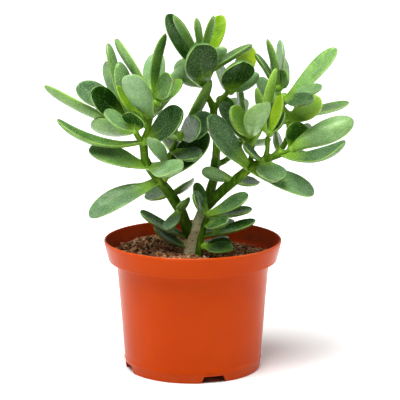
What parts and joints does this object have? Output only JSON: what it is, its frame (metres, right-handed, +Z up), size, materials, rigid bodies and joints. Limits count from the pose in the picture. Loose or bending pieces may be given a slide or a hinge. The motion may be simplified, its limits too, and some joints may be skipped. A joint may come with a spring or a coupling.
{
  "type": "potted jade plant",
  "caption": "Small branching jade plant with thick oval leaves in opposite pairs, growing from soil in a round tapered nursery pot with a deep rim.",
  "frame": {"origin": "on the ground under the middle of the whole plant's bounding box; the pot's axis stands 2.5 mm to the -X side and 2.5 mm to the -Y side of it", "axes": "+Z up along the pot's axis, +X to the right and +Y to the back as the plant is seen from its front"},
  "size_m": [0.209, 0.131, 0.2434],
  "materials": {
    "pot_plastic": "semi-gloss orange moulded plastic, dusty at the rim",
    "soil": "loose granular peat and coir with pale fibres",
    "woody_stem": "pale grey-tan bark at the foot, green above, ringed with leaf scars",
    "green_stem": "smooth green succulent stem, waxy",
    "leaf": "thick waxy succulent leaf, fine pale speckles, brighter margin, paler underside"
  },
  "bodies": {
    "root": {"basal_high_pair": "leaf", "basal_low_pair": "leaf", "basal_mid_pair": "leaf", "basal_shoot": "green_stem", "basal_tip": "leaf", "centre_oval_pair": "leaf", "centre_top_tip": "leaf", "centre_upper_pair": "leaf", "centre_wing_pair": "leaf", "fork_tip": "leaf", "left_back_high_pair": "leaf", "left_back_low_pair": "leaf", "left_back_pair": "leaf", "left_back_tip": "leaf", "left_branch": "green_stem", "left_bright_pair": "leaf", "left_folded_pair": "leaf", "left_fork_pair": "leaf", "left_front_tip": "leaf", "left_long_pair": "leaf", "left_low_pair": "leaf", "left_main_pair": "leaf", "left_top_tip": "leaf", "left_upper_pair": "leaf", "main_stem": "woody_stem", "middle_high_pair": "leaf", "middle_low_pair": "leaf", "middle_tip": "leaf", "pot": "pot_plastic", "rear_pair": "leaf", "rear_tip": "leaf", "right_big_pair": "leaf", "right_branch": "green_stem", "right_curved_pair": "leaf", "right_low_pair": "leaf", "right_round_pair": "leaf", "right_tip": "leaf", "soil": "soil", "tall_high_pair": "leaf", "tall_low_pair": "leaf", "tall_mid_pair": "leaf", "tall_top_tip": "leaf", "tall_upper_pair": "leaf", "trunk_high_pair": "leaf", "trunk_low_pair": "leaf", "upright_one_pair": "leaf", "upright_one_tip": "leaf", "upright_two_tip": "leaf"}
  },
  "joints": []
}
